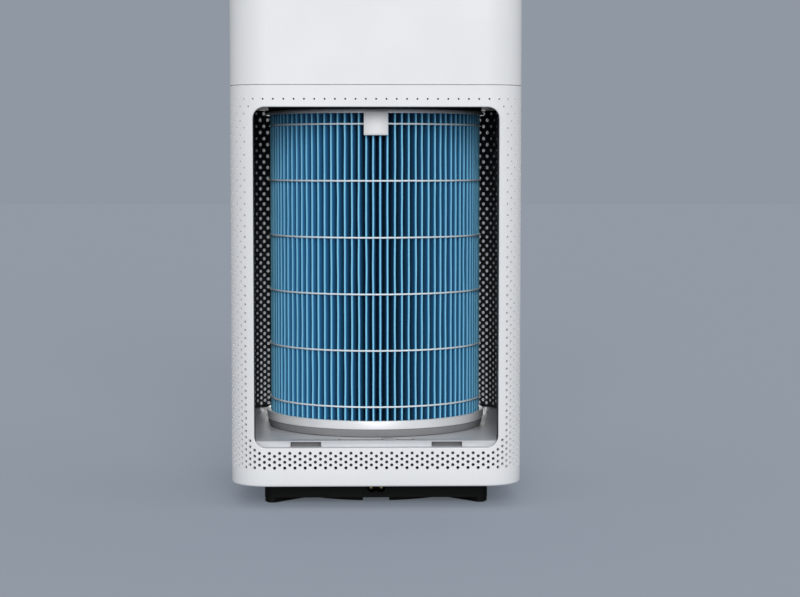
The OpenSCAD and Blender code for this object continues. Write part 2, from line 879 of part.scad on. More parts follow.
module control_panel() {
  color([0.9, 0.91, 0.92]) translate([0, 0, panel_z]) difference() {
    union() {
      cylinder(r = panel_r - 0.3, h = panel_top - panel_z);
      translate([0, 0, board_z + board_t + 1 - panel_z])
        around(3) translate([panel_r - 6, 0, 0]) cylinder(r = 2, h = 9);
    }
    translate([0, 0, -1]) cylinder(r = button_r + gap, h = 8);
    translate([0, 0, -1]) difference() {
      cylinder(r = button_r + 4.4, h = 3.2);
      cylinder(r = button_r + 2, h = 3.2);
    }
    translate([0, 0, 1]) difference() {
      cylinder(r = button_r + 4, h = 8);
      cylinder(r = button_r + 2.4, h = 8);
    }
  }
}

module light_ring() {
  color([0.75, 0.9, 1, 0.8]) translate([0, 0, panel_z - 2.5])
    tube(button_r + 3.9, button_r + 2.5, panel_top - panel_z + 2.4);
}

module power_button() {
  color([0.85, 0.86, 0.88]) {
    translate([0, 0, panel_z - 1.5]) cylinder(r = button_r, h = button_top - panel_z + 1.5);
    translate([0, 0, button_low]) cylinder(r = 2, h = panel_z - button_low);
    translate([0, 0, panel_z - 2.5]) cylinder(r = button_r + 1.2, h = 1.2);
  }
}

module panel_screws() {
  color([0.6, 0.6, 0.62]) translate([0, 0, board_z + board_t + 1.8]) around(3, 60)
    translate([board_screw_r, 0, 0]) rotate([180, 0, 0]) screw(2.3, 1.8, 1.2, 5);
}

base_plinth();
foot_pads();
base_screws();
power_inlet();
inlet_pins();
supply_board();
supply_parts();
lower_housing();
inner_liner();
chamber_floor();
wire_harness();
pleat_pack();
carbon_layer();
core_tube();
lower_end_cap();
upper_end_cap();
glue_beads();
pull_tab();
deck_seal();
fan_deck();
inlet_guard();
housing_screws();
impeller();
rotor_can();
magnet_ring();
motor_shaft();
shaft_clip();
motor_bearings();
stator_core();
stator_coils();
motor_mount();
motor_screws();
air_duct();
duct_screws();
guide_vanes();
upper_housing();
particle_sensor();
sensor_cover();
outlet_grille();
control_board();
button_switch();
control_panel();
light_ring();
power_button();
panel_screws();
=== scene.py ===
# Tower air purifier with its filter bay open: the looks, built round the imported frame.
import json
import math
import random

import bmesh
import bpy
from mathutils import Matrix, Vector, noise


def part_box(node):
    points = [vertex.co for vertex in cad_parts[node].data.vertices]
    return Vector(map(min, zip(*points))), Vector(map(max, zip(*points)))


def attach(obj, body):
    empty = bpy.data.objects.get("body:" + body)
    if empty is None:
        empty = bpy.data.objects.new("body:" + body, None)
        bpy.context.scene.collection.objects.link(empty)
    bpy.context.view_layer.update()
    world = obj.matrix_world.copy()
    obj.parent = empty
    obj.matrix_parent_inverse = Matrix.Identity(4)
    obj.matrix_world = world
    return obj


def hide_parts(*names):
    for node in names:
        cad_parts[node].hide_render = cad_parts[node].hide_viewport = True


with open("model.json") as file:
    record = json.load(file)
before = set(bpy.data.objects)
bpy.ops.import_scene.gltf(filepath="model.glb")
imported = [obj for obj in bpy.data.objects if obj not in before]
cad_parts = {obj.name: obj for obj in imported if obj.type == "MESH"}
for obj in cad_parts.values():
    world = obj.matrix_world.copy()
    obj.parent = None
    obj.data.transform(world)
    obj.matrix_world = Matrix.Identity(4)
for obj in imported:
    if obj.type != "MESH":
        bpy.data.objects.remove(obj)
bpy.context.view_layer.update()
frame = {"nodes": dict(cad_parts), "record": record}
print("frame loaded,", len(frame["nodes"]), "nodes")

mm = 0.001
weld = 1e-6                     # points closer than this become one
seed = random.Random(7)

# place in metres, lens in millimetres, down and turn in degrees
cameraView = {"place": (-0.0147, -1.6851, 0.2818), "lens": 86.7, "down": 3.988, "turn": 1.243}


def makeCamera(view):
    data = bpy.data.cameras.new("studioCamera")
    data.lens = view["lens"]
    data.sensor_width = 36
    camera = bpy.data.objects.new("studioCamera", data)
    camera.location = view["place"]
    camera.rotation_euler = (math.radians(90 - view["down"]), 0, -math.radians(view["turn"]))
    bpy.context.scene.collection.objects.link(camera)
    bpy.context.scene.camera = camera


makeCamera(cameraView)


def groupSocket(group, name, inOut, kind, default=None):
    socket = group.interface.new_socket(name, in_out=inOut, socket_type=kind)
    if default is not None:
        socket.default_value = default
    return socket


def makeGrainGroup():
    # moulded surface: fine grain for the bump, cloudy drift for colour and roughness
    group = bpy.data.node_groups.new("mouldedGrain", "ShaderNodeTree")
    groupSocket(group, "Place", "INPUT", "NodeSocketVector")
    groupSocket(group, "Colour", "INPUT", "NodeSocketColor", (0.5, 0.5, 0.5, 1))
    groupSocket(group, "Shade", "INPUT", "NodeSocketColor", (0.4, 0.4, 0.4, 1))
    groupSocket(group, "Rough", "INPUT", "NodeSocketFloat", 0.4)
    groupSocket(group, "RoughDrift", "INPUT", "NodeSocketFloat", 0.06)
    groupSocket(group, "GrainScale", "INPUT", "NodeSocketFloat", 2400)
    groupSocket(group, "DriftScale", "INPUT", "NodeSocketFloat", 14)
    groupSocket(group, "Colour", "OUTPUT", "NodeSocketColor")
    groupSocket(group, "Rough", "OUTPUT", "NodeSocketFloat")
    groupSocket(group, "Height", "OUTPUT", "NodeSocketFloat")
    nodes, links = group.nodes, group.links
    entry = nodes.new("NodeGroupInput")
    leave = nodes.new("NodeGroupOutput")
    grain = nodes.new("ShaderNodeTexNoise")
    grain.inputs["Detail"].default_value = 2
    links.new(entry.outputs["Place"], grain.inputs["Vector"])
    links.new(entry.outputs["GrainScale"], grain.inputs["Scale"])
    drift = nodes.new("ShaderNodeTexNoise")
    drift.inputs["Detail"].default_value = 4
    links.new(entry.outputs["Place"], drift.inputs["Vector"])
    links.new(entry.outputs["DriftScale"], drift.inputs["Scale"])
    spread = nodes.new("ShaderNodeMapRange")
    spread.inputs["From Min"].default_value = 0.35
    spread.inputs["From Max"].default_value = 0.7
    links.new(drift.outputs["Fac"], spread.inputs["Value"])
    tint = nodes.new("ShaderNodeMix")
    tint.data_type = "RGBA"
    links.new(spread.outputs["Result"], tint.inputs["Factor"])
    links.new(entry.outputs["Colour"], tint.inputs["A"])
    links.new(entry.outputs["Shade"], tint.inputs["B"])
    links.new(tint.outputs["Result"], leave.inputs["Colour"])
    wander = nodes.new("ShaderNodeMath")
    wander.operation = "MULTIPLY_ADD"
    links.new(spread.outputs["Result"], wander.inputs[0])
    links.new(entry.outputs["RoughDrift"], wander.inputs[1])
    links.new(entry.outputs["Rough"], wander.inputs[2])
    links.new(wander.outputs["Value"], leave.inputs["Rough"])
    links.new(grain.outputs["Fac"], leave.inputs["Height"])
    return group


grainGroup = makeGrainGroup()


def grainMaterial(name, look):
    # look: colour, shade, rough, drift, grain scale, bump, and any plain shader values
    material = bpy.data.materials.new(name)
    material.use_nodes = True
    nodes, links = material.node_tree.nodes, material.node_tree.links
    shader = nodes["Principled BSDF"]
    place = nodes.new("ShaderNodeTexCoord")
    grain = nodes.new("ShaderNodeGroup")
    grain.node_tree = grainGroup
    grain.inputs["Colour"].default_value = (*look["colour"], 1)
    grain.inputs["Shade"].default_value = (*look.get("shade", [0.9 * c for c in look["colour"]]), 1)
    grain.inputs["Rough"].default_value = look["rough"]
    grain.inputs["RoughDrift"].default_value = look.get("drift", 0.06)
    grain.inputs["GrainScale"].default_value = look.get("grain", 2400)
    grain.inputs["DriftScale"].default_value = look.get("cloud", 14)
    links.new(place.outputs["Object"], grain.inputs["Place"])
    links.new(grain.outputs["Colour"], shader.inputs["Base Color"])
    links.new(grain.outputs["Rough"], shader.inputs["Roughness"])
    bump = nodes.new("ShaderNodeBump")
    bump.inputs["Strength"].default_value = look.get("bump", 0.08)
    bump.inputs["Distance"].default_value = 0.0002
    links.new(grain.outputs["Height"], bump.inputs["Height"])
    links.new(bump.outputs["Normal"], shader.inputs["Normal"])
    for socket, value in look.get("plain", {}).items():
        shader.inputs[socket].default_value = value
    return material


finishes = {
    "whiteShell": {"colour": (0.80, 0.803, 0.805), "shade": (0.775, 0.78, 0.785), "rough": 0.42,
                   "bump": 0.05, "plain": {"Specular IOR Level": 0.4}},
    "whiteTrim": {"colour": (0.76, 0.775, 0.79), "rough": 0.33, "bump": 0.03},
    "blackBase": {"colour": (0.002, 0.002, 0.002), "rough": 0.6, "bump": 0.12,
                  "plain": {"Specular IOR Level": 0.12}},
    "blackLiner": {"colour": (0.028, 0.028, 0.03), "rough": 0.55, "bump": 0.15, "grain": 1500},
    "blackPlastic": {"colour": (0.02, 0.02, 0.022), "rough": 0.5, "bump": 0.12},
    "grilleBlack": {"colour": (0.022, 0.022, 0.024), "rough": 0.42, "bump": 0.08},
    "padRubber": {"colour": (0.01, 0.01, 0.01), "rough": 0.8, "bump": 0.3, "grain": 1200},
    "screwSteel": {"colour": (0.5, 0.5, 0.52), "rough": 0.32, "bump": 0.05,
                   "plain": {"Metallic": 1.0}},
    "floorGrey": {"colour": (0.55, 0.565, 0.59), "shade": (0.52, 0.535, 0.56), "rough": 0.36,
                  "bump": 0.05},
    "pinBrass": {"colour": (0.2, 0.16, 0.08), "rough": 0.3, "plain": {"Metallic": 1.0}},
    "boardGreen": {"colour": (0.01, 0.09, 0.035), "rough": 0.4, "grain": 700, "bump": 0.1},
    "partBlack": {"colour": (0.03, 0.03, 0.035), "rough": 0.45},
    "cableBlack": {"colour": (0.015, 0.015, 0.016), "rough": 0.55},
    "carbonMesh": {"colour": (0.012, 0.012, 0.013), "rough": 0.9, "grain": 900, "bump": 0.6},
    "silverCap": {"colour": (0.84, 0.85, 0.86), "shade": (0.78, 0.79, 0.81), "rough": 0.3,
                  "bump": 0.03, "plain": {"Metallic": 0.1, "Specular IOR Level": 0.6}},
    # painted shade: the darker grey painted into the floor's slots and pockets
    "recessPaintedShade": {"colour": (0.20, 0.205, 0.215), "rough": 0.5},
    # painted shade: a darker copy of the silver cap for the lower cap's foot
    "capFootPaintedShade": {"colour": (0.27, 0.272, 0.28), "rough": 0.45, "bump": 0.06},
    "coreGrey": {"colour": (0.5, 0.51, 0.53), "rough": 0.5},
    "glueWhite": {"colour": (0.84, 0.90, 0.93), "rough": 0.3, "drift": 0.15, "bump": 0.1},
    "tabGrey": {"colour": (0.74, 0.74, 0.74), "shade": (0.70, 0.70, 0.70), "rough": 0.35,
                "cloud": 60},
    "sealFoam": {"colour": (0.02, 0.02, 0.021), "rough": 0.95, "grain": 800, "bump": 0.8},
    "magnetGrey": {"colour": (0.06, 0.06, 0.06), "rough": 0.5, "plain": {"Metallic": 0.6}},
    "coilCopper": {"colour": (0.6, 0.22, 0.08), "rough": 0.35, "plain": {"Metallic": 0.9}},
    "mountAluminium": {"colour": (0.6, 0.61, 0.63), "rough": 0.4, "plain": {"Metallic": 1.0}},
}
made = {name: grainMaterial(name, look) for name, look in finishes.items()}


def makeLightRingMaterial():
    material = bpy.data.materials.new("lightRing")
    material.use_nodes = True
    nodes, links = material.node_tree.nodes, material.node_tree.links
    shader = nodes["Principled BSDF"]
    shader.inputs["Roughness"].default_value = 0.25
    shader.inputs["Emission Strength"].default_value = 1.2
    place = nodes.new("ShaderNodeTexCoord")
    drift = nodes.new("ShaderNodeTexNoise")
    drift.inputs["Scale"].default_value = 120
    tint = nodes.new("ShaderNodeMix")
    tint.data_type = "RGBA"
    tint.inputs["A"].default_value = (0.35, 0.75, 0.95, 1)
    tint.inputs["B"].default_value = (0.45, 0.85, 1.0, 1)
    links.new(place.outputs["Object"], drift.inputs["Vector"])
    links.new(drift.outputs["Fac"], tint.inputs["Factor"])
    links.new(tint.outputs["Result"], shader.inputs["Base Color"])
    links.new(tint.outputs["Result"], shader.inputs["Emission Color"])
    return material


made["lightRing"] = makeLightRingMaterial()


def makePaperMaterial():
    # folded blue filter paper: a painted highlight along the crests and painted shade deep in the
    # folds, fine upright fibres
    material = bpy.data.materials.new("bluePaper")
    material.use_nodes = True
    nodes, links = material.node_tree.nodes, material.node_tree.links
    shader = nodes["Principled BSDF"]
    shader.inputs["Specular IOR Level"].default_value = 0.25
    space = nodes.new("ShaderNodeTexCoord")
    stretch = nodes.new("ShaderNodeMapping")
    stretch.inputs["Scale"].default_value = (900, 900, 60)
    links.new(space.outputs["Object"], stretch.inputs["Vector"])
    fibre = nodes.new("ShaderNodeTexNoise")
    fibre.inputs["Scale"].default_value = 1
    fibre.inputs["Detail"].default_value = 3
    links.new(stretch.outputs["Vector"], fibre.inputs["Vector"])
    # the crest share picks the colour: painted highlight on the crests, painted shade down in the
    # folds
    crest = nodes.new("ShaderNodeAttribute")
    crest.attribute_name = "crest"
    lift = nodes.new("ShaderNodeValToRGB")
    stops = lift.color_ramp.elements
    stops[0].color = (0.02, 0.10, 0.19, 1)
    stops[1].color = (0.30, 0.76, 1.0, 1)
    for place, colour in [(0.3, (0.016, 0.115, 0.26, 1)), (0.62, (0.04, 0.22, 0.45, 1))]:
        stops.new(place).color = colour
    links.new(crest.outputs["Fac"], lift.inputs["Fac"])
    mottle = nodes.new("ShaderNodeMix")
    mottle.data_type = "RGBA"
    mottle.blend_type = "MULTIPLY"
    mottle.inputs["B"].default_value = (0.80, 0.86, 0.90, 1)
    links.new(fibre.outputs["Fac"], mottle.inputs["Factor"])
    links.new(lift.outputs["Color"], mottle.inputs["A"])
    links.new(mottle.outputs["Result"], shader.inputs["Base Color"])
    rough = nodes.new("ShaderNodeMapRange")
    rough.inputs["To Min"].default_value = 0.6
    rough.inputs["To Max"].default_value = 0.8
    links.new(fibre.outputs["Fac"], rough.inputs["Value"])
    links.new(rough.outputs["Result"], shader.inputs["Roughness"])
    bump = nodes.new("ShaderNodeBump")
    bump.inputs["Strength"].default_value = 0.25
    bump.inputs["Distance"].default_value = 0.0002
    links.new(fibre.outputs["Fac"], bump.inputs["Height"])
    links.new(bump.outputs["Normal"], shader.inputs["Normal"])
    return material


made["bluePaper"] = makePaperMaterial()
print("materials made:", len(made))

nodeFinish = {
    "base_plinth": "blackBase", "foot_pads": "padRubber", "base_screws": "screwSteel",
    "power_inlet": "blackBase", "inlet_pins": "pinBrass", "supply_board": "boardGreen",
    "supply_parts": "partBlack", "lower_housing": "whiteShell", "inner_liner": "blackLiner",
    "chamber_floor": "floorGrey", "wire_harness": "cableBlack", "pleat_pack": "bluePaper",
    "carbon_layer": "carbonMesh", "core_tube": "coreGrey", "lower_end_cap": "silverCap",
    "upper_end_cap": "silverCap", "glue_beads": "glueWhite", "pull_tab": "tabGrey",
    "deck_seal": "sealFoam", "fan_deck": "blackPlastic", "inlet_guard": "blackPlastic",
    "housing_screws": "screwSteel", "impeller": "blackPlastic", "rotor_can": "screwSteel",
    "magnet_ring": "magnetGrey", "motor_shaft": "screwSteel", "shaft_clip": "screwSteel",
    "motor_bearings": "screwSteel", "stator_core": "magnetGrey", "stator_coils": "coilCopper",
    "motor_mount": "mountAluminium", "motor_screws": "screwSteel", "air_duct": "blackPlastic",
    "duct_screws": "screwSteel", "guide_vanes": "blackPlastic", "upper_housing": "whiteShell",
    "particle_sensor": "partBlack", "sensor_cover": "whiteTrim", "outlet_grille": "grilleBlack",
    "control_board": "boardGreen", "button_switch": "partBlack", "control_panel": "whiteTrim",
    "light_ring": "lightRing", "power_button": "whiteTrim", "panel_screws": "screwSteel",
}
bodyOf = {node: body for body, members in frame["record"]["behaviour"]["bodies"].items()
          for node in members}


def dressNode(nodeName):
    piece = frame["nodes"][nodeName]
    if not piece.data.materials:
        piece.data.materials.append(None)
    for i in range(len(piece.data.materials)):
        piece.data.materials[i] = made[nodeFinish[nodeName]]


for nodeName in frame["nodes"]:
    dressNode(nodeName)


def finishPiece(bm, name, *nodeNames, sharpAngle=35, finish=None):
    # a finished bmesh becomes a piece that stands for CAD nodes and moves with their body
    mesh = bpy.data.meshes.new(name)
    bm.to_mesh(mesh)
    bm.free()
    mesh.polygons.foreach_set("use_smooth", [True] * len(mesh.polygons))
    mesh.set_sharp_from_angle(angle=math.radians(sharpAngle))
    mesh.materials.append(made[finish or nodeFinish[nodeNames[0]]])
    piece = bpy.data.objects.new(name, mesh)
    bpy.context.scene.collection.objects.link(piece)
    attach(piece, bodyOf[nodeNames[0]])
    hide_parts(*nodeNames)
    return piece


def softCopy(nodeName, name, width, segments=2, angle=40):
    # the CAD shape with its sharp edges eased, as a moulded part's are
    bm = bmesh.new()
    bm.from_mesh(frame["nodes"][nodeName].data)
    bmesh.ops.remove_doubles(bm, verts=bm.verts, dist=weld)
    bmesh.ops.dissolve_limit(bm, angle_limit=math.radians(0.5), verts=bm.verts, edges=bm.edges)
    sharp = [e for e in bm.edges
             if len(e.link_faces) == 2 and e.calc_face_angle() > math.radians(angle)]
    bmesh.ops.bevel(bm, geom=sharp, offset=width, affect="EDGES", segments=segments,
                    profile=0.5, material=-1, clamp_overlap=True)
    return finishPiece(bm, name, nodeName)


# the lower housing: a square shell with a rounded opening in its rear face
lowCorner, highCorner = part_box("lower_housing")
shell = {
    "half": highCorner.x, "edge": 30.5 * mm, "wall": 1.8 * mm,
    "bottom": lowCorner.z, "top": highCorner.z,
    "mouthHalf": 100 * mm, "mouthLow": 50 * mm, "mouthHigh": 328 * mm, "mouthCorner": 9.5 * mm,
    "turnIn": 34 * mm, "footSteps": 4, "topEase": 0.3 * mm,
    "highLine": 340 * mm, "lowLine": 31 * mm,      # the rows of cells lie between these
}
# the holes: rows that draw closer and holes that grow towards the bottom
piercing = {
    "perFace": 27,              # holes in a row from the middle of one face to the next
    "rearStep": 4.17 * mm,      # half a hole's pitch on the rear and front faces
    "rows": 83, "topRow": 334.5 * mm, "fall": 319.7 * mm, "tighten": 0.01906,
    "topRadius": 0.8 * mm, "lowRadius": 1.38 * mm, "margin": 4 * mm, "zigzag": 0.8,
    "firstInset": 0.2 * mm,
}
# the black wall inside the housing, up to a post on either side of the opening
liner = {
    "inset": 2.0 * mm, "wall": 0.8 * mm, "bottom": 50 * mm, "top": 331 * mm, "ends": 1 * mm,
    "hole": 1.65 * mm, "lowMargin": 6 * mm, "highMargin": 2.5 * mm, "sideMargin": 6 * mm,
    "postY": -97.2 * mm,
}


def rowHeight(row):
    return piercing["topRow"] - piercing["fall"] * math.log(1 + piercing["tighten"] * row)


def holeRadius(height):
    span = piercing["topRow"] - rowHeight(piercing["rows"] - 1)
    share = (piercing["topRow"] - height) / span
    return piercing["topRadius"] + (piercing["lowRadius"] - piercing["topRadius"]) * share


straight = shell["half"] - shell["edge"]
faceRun = 2 * straight + shell["edge"] * math.pi / 2
sideStep = faceRun / piercing["perFace"] - piercing["rearStep"]


def columnRun(column):
    # distance round the wall; the side faces take up what the rear and front pitch leaves
    perFace = piercing["perFace"]
    face = (column + perFace) // (2 * perFace)
    step = sideStep if face % 2 else piercing["rearStep"]
    return face * faceRun + (column - 2 * perFace * face) * step


def wallPoint(run, height, inset):
    # run metres round the housing from the middle of its rear face, towards +X
    face = math.floor(run / faceRun + 0.5)
    along = run - face * faceRun
    side = math.copysign(1, along)
    over = max(0, abs(along) - straight) / shell["edge"]
    reach = shell["edge"] - inset
    x = side * (min(abs(along), straight) + reach * math.sin(over))
    y = -straight - reach * math.cos(over)
    return Matrix.Rotation(face * math.pi / 2, 3, "Z") @ Vector((x, y, height))


def mouthOutline(grow):
    # the opening's corner radius and middle height, and how far out its corner centres stand
    corner = shell["mouthCorner"] + grow
    middle = (shell["mouthLow"] + shell["mouthHigh"]) / 2
    reachX = shell["mouthHalf"] + grow - corner
    reachZ = (shell["mouthHigh"] - shell["mouthLow"]) / 2 + grow - corner
    return corner, middle, reachX, reachZ


def mouthDistance(x, z, grow=0):
    # distance outside the rear opening's rounded outline, negative within it
    corner, middle, reachX, reachZ = mouthOutline(grow)
    dx, dz = abs(x) - reachX, abs(z - middle) - reachZ
    return math.hypot(max(dx, 0), max(dz, 0)) + min(max(dx, dz), 0) - corner


def nearestOnMouth(x, z, grow):
    corner, middle, reachX, reachZ = mouthOutline(grow)
    dx, dz = abs(x) - reachX, abs(z - middle) - reachZ
    if dx > 0 and dz > 0:
        size = math.hypot(dx, dz)
        dx, dz = dx / size * corner, dz / size * corner
    elif dx > dz:
        dx = corner
    else:
        dz = corner
    return math.copysign(reachX + dx, x), middle + math.copysign(reachZ + dz, z - middle)


def cellShift(lines, line, halfRow, column):
    # the line between two rows zigzags, so that each hole has a cell larger than itself
    if halfRow % 2 == 0 or not 0 < line < len(lines) - 1:
        return 0
    above, height, below = [lines[k][0] for k in (line - 1, line, line + 1)]
    midway = abs((above + below) / 2 - height) < weld / 10
    if not midway:
        return 0
    away = -1 if (column + halfRow // 2) % 2 == 0 else 1
    return away * piercing["zigzag"] * (above - height)


def piercedWall(inset, lines, rowLine, radiusAt, hasHole, keepCell, trimEdge):
    # lines: (height, inset) of each level line from the top down; rowLine: index of row 0
    columns = 8 * piercing["perFace"]
    bm = bmesh.new()
    bmesh.ops.create_grid(bm, x_segments=columns, y_segments=len(lines) - 1, size=1)
    columnLayer = bm.verts.layers.int.new("column")
    lineLayer = bm.verts.layers.int.new("line")
    for vert in bm.verts:
        column = round((vert.co.x + 1) / 2 * columns)
        line = round((1 - vert.co.y) / 2 * (len(lines) - 1))
        height, extra = lines[line]
        height += cellShift(lines, line, line - rowLine, column)
        vert[columnLayer] = column
        vert[lineLayer] = line
        vert.co = wallPoint(columnRun(column), height, inset + extra)
    bmesh.ops.remove_doubles(bm, verts=bm.verts, dist=weld)
    bmesh.ops.recalc_face_normals(bm, faces=bm.faces)
    spare = [f for f in bm.faces if not keepCell(f.calc_center_median())]
    bmesh.ops.delete(bm, geom=spare, context="FACES")
    for vert in bm.verts:
        if vert.is_boundary and 0 < vert[lineLayer] < len(lines) - 1:
            vert.co = trimEdge(vert.co)
    centres = []
    for vert in bm.verts:
        row, odd = divmod(vert[lineLayer] - rowLine, 2)
        if odd or not 0 <= row < piercing["rows"] or len(vert.link_faces) != 4:
            continue
        if (vert[columnLayer] + row) % 2 == 0 and hasHole(vert.co):
            centres.append(vert)
    spots = [(vert[columnLayer], vert[lineLayer], vert.co.copy()) for vert in centres]
    bmesh.ops.dissolve_verts(bm, verts=centres)
    bricks = [f for f in bm.faces if len(f.verts) > 4]
    centreOf = matchBricks(bricks, spots)
    # each cell gets a rim of faces, whose inner corners then move onto the hole's circle
    bmesh.ops.inset_individual(bm, faces=bricks, thickness=piercing["firstInset"], depth=0)
    for brick, (column, line, spot) in centreOf.items():
        height = lines[line][0]
        roundHole(brick, columnRun(column), height, inset, radiusAt(height))
    bmesh.ops.delete(bm, geom=list(centreOf), context="FACES")
    return bm


def matchBricks(bricks, spots):
    # which hole each eight-sided cell belongs to
    found = {}
    grid = {}
    cell = 4 * mm
    for spot in spots:
        key = tuple(math.floor(c / cell) for c in spot[2])
        grid.setdefault(key, []).append(spot)
    for brick in bricks:
        middle = brick.calc_center_bounds()
        key = [math.floor(c / cell) for c in middle]
        near = []
        for dx in (-1, 0, 1):
            for dy in (-1, 0, 1):
                for dz in (-1, 0, 1):
                    near += grid.get((key[0] + dx, key[1] + dy, key[2] + dz), [])
        if near:
            found[brick] = min(near, key=lambda spot: (spot[2] - middle).length)
    return found


def roundHole(brick, run, height, inset, radius):
    # a cell's corners move onto a circle, evenly, in the order that they stand round it
    nudge = 0.5 * mm
    centre = wallPoint(run, height, inset)
    across = (wallPoint(run + nudge, height, inset) - centre).normalized()
    wide = max(abs((v.co - centre).dot(across)) for v in brick.verts)
    tall = max(abs(v.co.z - height) for v in brick.verts)
    turnOf = {}
    for vert in brick.verts:
        offset = vert.co - centre
        turnOf[vert] = math.atan2(offset.z / tall, offset.dot(across) / wide) % (2 * math.pi)
    order = sorted(brick.verts, key=turnOf.get)
    nearLevel = min(range(len(order)), key=lambda i: 1 - math.cos(turnOf[order[i]]))
    for i, vert in enumerate(order):
        angle = 2 * math.pi * (i - nearLevel) / len(order)
        vert.co = wallPoint(run + radius * math.cos(angle), height + radius * math.sin(angle),
                            inset)


def levelLines(top, bottom, topLines, bottomLines):
    # row centres and the lines midway between them, in the strip from top down to bottom
    lines = []
    firstKept = None
    for halfRow in range(-2, 2 * piercing["rows"] + 2):
        row = halfRow // 2
        height = rowHeight(row)
        if halfRow % 2:
            height = (height + rowHeight(row + 1)) / 2
        if bottom < height < top:
            if firstKept is None:
                firstKept = halfRow
            lines.append((height, 0))
    return topLines + lines + bottomLines, len(topLines) - firstKept


def splitByCorner(bm):
    # four meshes, each round one upright edge, parted along the cells' own edges
    aside = math.radians(0.4)       # keeps the parting off the middles of the cells
    corners = [[], [], [], []]
    bm.faces.index_update()
    for face in bm.faces:
        spot = face.calc_center_bounds()
        turn = (math.atan2(spot.y, spot.x) + aside) / (math.pi / 2)
        corners[math.floor(turn) % 4].append(face.index)
    parts = []
    for corner in corners:
        part = bm.copy()
        part.faces.ensure_lookup_table()
        keep = set(corner)
        away = [f for f in part.faces if f.index not in keep]
        bmesh.ops.delete(part, geom=away, context="FACES")
        parts.append(part)
    bm.free()
    return parts


cornerNames = ["frontRight", "frontLeft", "rearLeft", "rearRight"]


def thicken(bm, wall):
    bmesh.ops.solidify(bm, geom=bm.faces[:], thickness=wall)
    bmesh.ops.remove_doubles(bm, verts=bm.verts, dist=0.03 * mm)


def buildShell():
    # eased at its top, rounded into a turned-in rim at its bottom
    wall, lip = shell["wall"], shell["wall"] / 2
    top, bottom = shell["top"], shell["bottom"]
    ease = [(top, shell["topEase"]), (top - shell["topEase"], 0)]
    foot = []
    for step in range(shell["footSteps"] + 1):
        angle = step / shell["footSteps"] * math.pi / 2
        foot.append((bottom + wall * (1 - math.sin(angle)), wall * (1 - math.cos(angle))))
    foot.append((bottom, shell["turnIn"]))
    lines, rowLine = levelLines(shell["highLine"], shell["lowLine"], ease, foot)

    def keepCell(co):
        return co.y >= 0 or mouthDistance(co.x, co.z, lip) >= 0

    def hasHole(co):
        return co.y > 0 or mouthDistance(co.x, co.z) > piercing["margin"]

    def trimEdge(co):
        x, z = nearestOnMouth(co.x, co.z, lip)
        over = max(0, abs(x) - straight)
        return Vector((x, -straight - math.sqrt(shell["edge"] ** 2 - over ** 2), z))

    bm = piercedWall(0, lines, rowLine, holeRadius, hasHole, keepCell, trimEdge)
    for part, corner in zip(splitByCorner(bm), cornerNames):
        thicken(part, wall)
        print("shell", corner, len(part.faces), "faces, volume", part.calc_volume(signed=True))
        finishPiece(part, "lowerHousing_" + corner, "lower_housing")


lipShape = {"cornerSteps": 12, "spacing": 3 * mm, "sides": 10}


def lipPath(radius):
    # points round the opening's outline, about the spacing apart on its straight sides
    corner, middle, reachX, reachZ = mouthOutline(radius)
    steps = lipShape["cornerSteps"]
    path = []
    for quarter, (sideX, sideZ) in enumerate([(1, 1), (-1, 1), (-1, -1), (1, -1)]):
        for step in range(steps + 1):
            angle = quarter * math.pi / 2 + step * math.pi / 2 / steps
            path.append((sideX * reachX + corner * math.cos(angle),
                         middle + sideZ * reachZ + corner * math.sin(angle)))
    dense = []
    for i, (x, z) in enumerate(path):
        nx, nz = path[(i + 1) % len(path)]
        pieces = max(1, int(math.hypot(nx - x, nz - z) / lipShape["spacing"]))
        dense += [(x + (nx - x) * k / pieces, z + (nz - z) * k / pieces) for k in range(pieces)]
    return dense


def buildMouthLip():
    # full-round edge of the rear opening, following the rounded rear corners
    lip = shell["wall"] / 2
    path = lipPath(lip)
    count = len(path)
    bm = bmesh.new()
    rings = []
    for i, (x, z) in enumerate(path):
        over = max(0, abs(x) - straight)
        reach = shell["edge"] - lip
        y = -straight - math.sqrt(max(0, reach ** 2 - over ** 2))
        px, pz = path[i - 1]
        nx, nz = path[(i + 1) % count]
        along = Vector((nx - px, 0, nz - pz)).normalized()
        outward = Vector((0, -1, 0))
        if abs(x) > straight:
            outward = Vector((math.copysign(over, x), y + straight, 0)).normalized()
        across = along.cross(outward).normalized()
        ring = bmesh.ops.create_circle(bm, segments=lipShape["sides"], radius=lip)["verts"]
        turn = Matrix((across, outward, along)).transposed().to_4x4()
        bmesh.ops.transform(bm, matrix=Matrix.Translation((x, y, z)) @ turn, verts=ring)
        rings.append(ring)
    for i in range(count):
        pair = ringEdges(rings[i]) + ringEdges(rings[(i + 1) % count])
        bmesh.ops.bridge_loops(bm, edges=pair)
    bmesh.ops.recalc_face_normals(bm, faces=bm.faces)
    finishPiece(bm, "mouthLip", "lower_housing", sharpAngle=60)


def ringEdges(ring):
    members = set(ring)
    return list({e for v in ring for e in v.link_edges if e.other_vert(v) in members})


def buildLiner():
    top, bottom = liner["top"], liner["bottom"]
    lines, rowLine = levelLines(top - liner["ends"], bottom + liner["ends"],
                                [(top, 0)], [(bottom, 0)])

    def keepCell(co):
        return co.y > liner["postY"]

    def hasHole(co):
        inside = bottom + liner["lowMargin"] < co.z < top - liner["highMargin"]
        return inside and co.y > liner["postY"] + liner["sideMargin"]

    over = abs(liner["postY"]) - straight
    edgeX = straight + math.sqrt((shell["edge"] - liner["inset"]) ** 2 - over ** 2)

    def trimEdge(co):
        return Vector((math.copysign(edgeX, co.x), liner["postY"], co.z))

    def sameRadius(height):
        return liner["hole"]

    bm = piercedWall(liner["inset"], lines, rowLine, sameRadius, hasHole, keepCell, trimEdge)
    for part, corner in zip(splitByCorner(bm), cornerNames):
        thicken(part, liner["wall"])
        print("liner", corner, len(part.faces), "faces, volume", part.calc_volume(signed=True))
        finishPiece(part, "innerLiner_" + corner, "inner_liner")
    for side in (-1, 1):
        buildPost(side)


